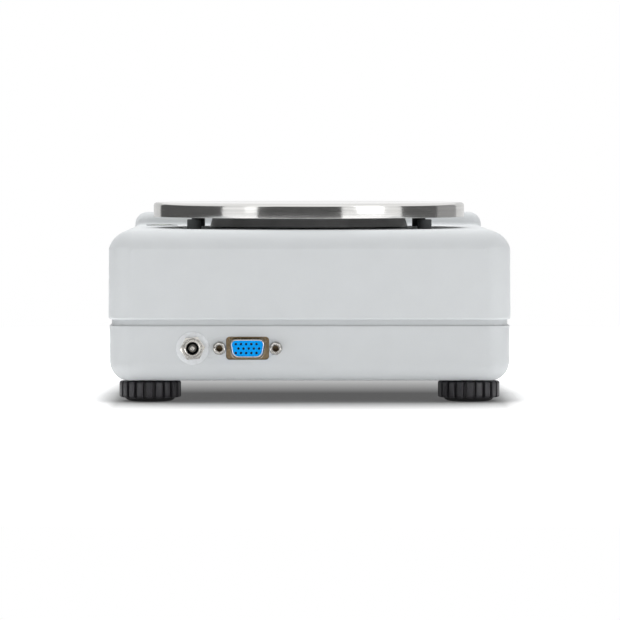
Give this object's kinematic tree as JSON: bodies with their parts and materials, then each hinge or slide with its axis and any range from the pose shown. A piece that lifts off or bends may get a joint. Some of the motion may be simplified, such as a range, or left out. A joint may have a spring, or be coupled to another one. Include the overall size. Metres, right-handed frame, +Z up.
{
  "type": "precision balance",
  "caption": "Top-loading precision balance with round steel pan, raised display console, levelling feet, power inlet and data socket at the rear.",
  "frame": {"origin": "on the table, under the middle of the whole part's box", "axes": "+Z up, +Y to the rear where the sockets are, +X to the user's right"},
  "size_m": [0.18, 0.2548, 0.0887],
  "materials": {
    "housing_plastic": "fine-textured light grey",
    "pan_steel": "brushed stainless",
    "support_paint": "dark grey satin paint on cast aluminium",
    "buffer_rubber": "dark grey",
    "foot_plastic": "black, finely grained",
    "pad_rubber": "black",
    "screw_steel": "zinc plated",
    "insert_brass": "turned",
    "aluminium": "milled",
    "port_flange": "yellow chromate",
    "port_shell": "tin plated",
    "port_blue": "moulded blue",
    "contact_gold": "gilt",
    "nickel": "nickel plated",
    "jack_black": "black",
    "board_green": "solder mask",
    "board_black": "moulded components",
    "display_glass": "display glass",
    "display_window": "clear window",
    "key_plastic": "moulded grey",
    "level_glass": "tinted liquid vial",
    "cushion_rubber": "silicone"
  },
  "bodies": {
    "housing": {"upper_housing": "housing_plastic", "lower_housing": "housing_plastic", "housing_screws": "screw_steel", "overload_stops": "buffer_rubber", "foot_inserts": "insert_brass", "chassis_plate": "aluminium", "cell_spacer_lower": "aluminium", "load_cell": "aluminium", "cell_screws_lower": "screw_steel", "overload_screw": "screw_steel", "overload_nut": "screw_steel", "data_port_flange": "port_flange", "data_port_shell": "port_shell", "data_port_insert": "port_blue", "data_port_contacts": "contact_gold", "jackscrews": "nickel", "jackscrew_washers": "screw_steel", "interface_board": "board_green", "power_jack_washer": "screw_steel", "power_jack_nut": "nickel", "power_jack_bushing": "nickel", "power_jack_body": "jack_black", "power_jack_pin": "nickel", "main_board": "board_green", "main_board_parts": "board_black", "display_board": "board_green", "m3_screws": "screw_steel", "display_frame": "screw_steel", "display_glass": "display_glass", "display_window": "display_window", "key_switches": "board_black", "level_cup": "aluminium", "level_vial": "level_glass"},
    "load_carrier": {"cell_spacer_upper": "aluminium", "cell_screws_upper": "screw_steel", "pan_carrier": "aluminium", "pan_support": "support_paint", "pan_support_screws": "screw_steel", "pan_cushions": "cushion_rubber"},
    "pan": {"weighing_pan": "pan_steel"},
    "key_1": {"key_1": "key_plastic"},
    "key_2": {"key_2": "key_plastic"},
    "key_3": {"key_3": "key_plastic"},
    "key_4": {"key_4": "key_plastic"},
    "key_5": {"key_5": "key_plastic"},
    "key_6": {"key_6": "key_plastic"},
    "foot_pad_front_left": {"foot_pad_front_left": "pad_rubber"},
    "foot_wheel_front_left": {"foot_wheel_front_left": "foot_plastic", "foot_stud_front_left": "screw_steel"},
    "foot_pad_front_right": {"foot_pad_front_right": "pad_rubber"},
    "foot_wheel_front_right": {"foot_wheel_front_right": "foot_plastic", "foot_stud_front_right": "screw_steel"},
    "foot_pad_rear_left": {"foot_pad_rear_left": "pad_rubber"},
    "foot_wheel_rear_left": {"foot_wheel_rear_left": "foot_plastic", "foot_stud_rear_left": "screw_steel"},
    "foot_pad_rear_right": {"foot_pad_rear_right": "pad_rubber"},
    "foot_wheel_rear_right": {"foot_wheel_rear_right": "foot_plastic", "foot_stud_rear_right": "screw_steel"}
  },
  "joints": [
    {"name": "load_deflection", "type": "slide", "parent": "housing", "child": "load_carrier", "axis": [0, 0, 1], "range_m": [-0.0005, 0], "stiffness_N_per_m": 75000, "deforming": ["load_cell"]},
    {"name": "pan_lift", "type": "slide", "parent": "load_carrier", "child": "pan", "axis": [0, 0, 1], "range_m": [0, 0.03]},
    {"name": "key_1_press", "type": "slide", "parent": "housing", "child": "key_1", "axis": [0, 0.3032, -0.9529], "range_m": [0, 0.0005], "stiffness_N_per_m": 3000, "springref_m": -0.0003},
    {"name": "key_2_press", "type": "slide", "parent": "housing", "child": "key_2", "axis": [0, 0.3032, -0.9529], "range_m": [0, 0.0005], "stiffness_N_per_m": 3000, "springref_m": -0.0003},
    {"name": "key_3_press", "type": "slide", "parent": "housing", "child": "key_3", "axis": [0, 0.3032, -0.9529], "range_m": [0, 0.0005], "stiffness_N_per_m": 3000, "springref_m": -0.0003},
    {"name": "key_4_press", "type": "slide", "parent": "housing", "child": "key_4", "axis": [0, 0.3032, -0.9529], "range_m": [0, 0.0005], "stiffness_N_per_m": 3000, "springref_m": -0.0003},
    {"name": "key_5_press", "type": "slide", "parent": "housing", "child": "key_5", "axis": [0, 0.3032, -0.9529], "range_m": [0, 0.0005], "stiffness_N_per_m": 3000, "springref_m": -0.0003},
    {"name": "key_6_press", "type": "slide", "parent": "housing", "child": "key_6", "axis": [0, 0.3032, -0.9529], "range_m": [0, 0.0005], "stiffness_N_per_m": 3000, "springref_m": -0.0003},
    {"name": "foot_front_left_height", "type": "slide", "parent": "housing", "child": "foot_pad_front_left", "axis": [0, 0, 1], "range_m": [-0.005, 0]},
    {"name": "foot_front_left_turn", "type": "hinge", "parent": "foot_pad_front_left", "child": "foot_wheel_front_left", "pos_m": [-0.0716, -0.1074, 0.005], "axis": [0, 0, 1], "range_deg": [-1800, 0]},
    {"name": "foot_front_right_height", "type": "slide", "parent": "housing", "child": "foot_pad_front_right", "axis": [0, 0, 1], "range_m": [-0.005, 0]},
    {"name": "foot_front_right_turn", "type": "hinge", "parent": "foot_pad_front_right", "child": "foot_wheel_front_right", "pos_m": [0.0716, -0.1074, 0.005], "axis": [0, 0, 1], "range_deg": [-1800, 0]},
    {"name": "foot_rear_left_height", "type": "slide", "parent": "housing", "child": "foot_pad_rear_left", "axis": [0, 0, 1], "range_m": [-0.005, 0]},
    {"name": "foot_rear_left_turn", "type": "hinge", "parent": "foot_pad_rear_left", "child": "foot_wheel_rear_left", "pos_m": [-0.0716, 0.1026, 0.005], "axis": [0, 0, 1], "range_deg": [-1800, 0]},
    {"name": "foot_rear_right_height", "type": "slide", "parent": "housing", "child": "foot_pad_rear_right", "axis": [0, 0, 1], "range_m": [-0.005, 0]},
    {"name": "foot_rear_right_turn", "type": "hinge", "parent": "foot_pad_rear_right", "child": "foot_wheel_rear_right", "pos_m": [0.0716, 0.1026, 0.005], "axis": [0, 0, 1], "range_deg": [-1800, 0]}
  ],
  "couplings": [
    {"joint": "foot_front_left_height", "follows": "foot_front_left_turn", "m_per_rad": 0.00015915},
    {"joint": "foot_front_right_height", "follows": "foot_front_right_turn", "m_per_rad": 0.00015915},
    {"joint": "foot_rear_left_height", "follows": "foot_rear_left_turn", "m_per_rad": 0.00015915},
    {"joint": "foot_rear_right_height", "follows": "foot_rear_right_turn", "m_per_rad": 0.00015915}
  ]
}
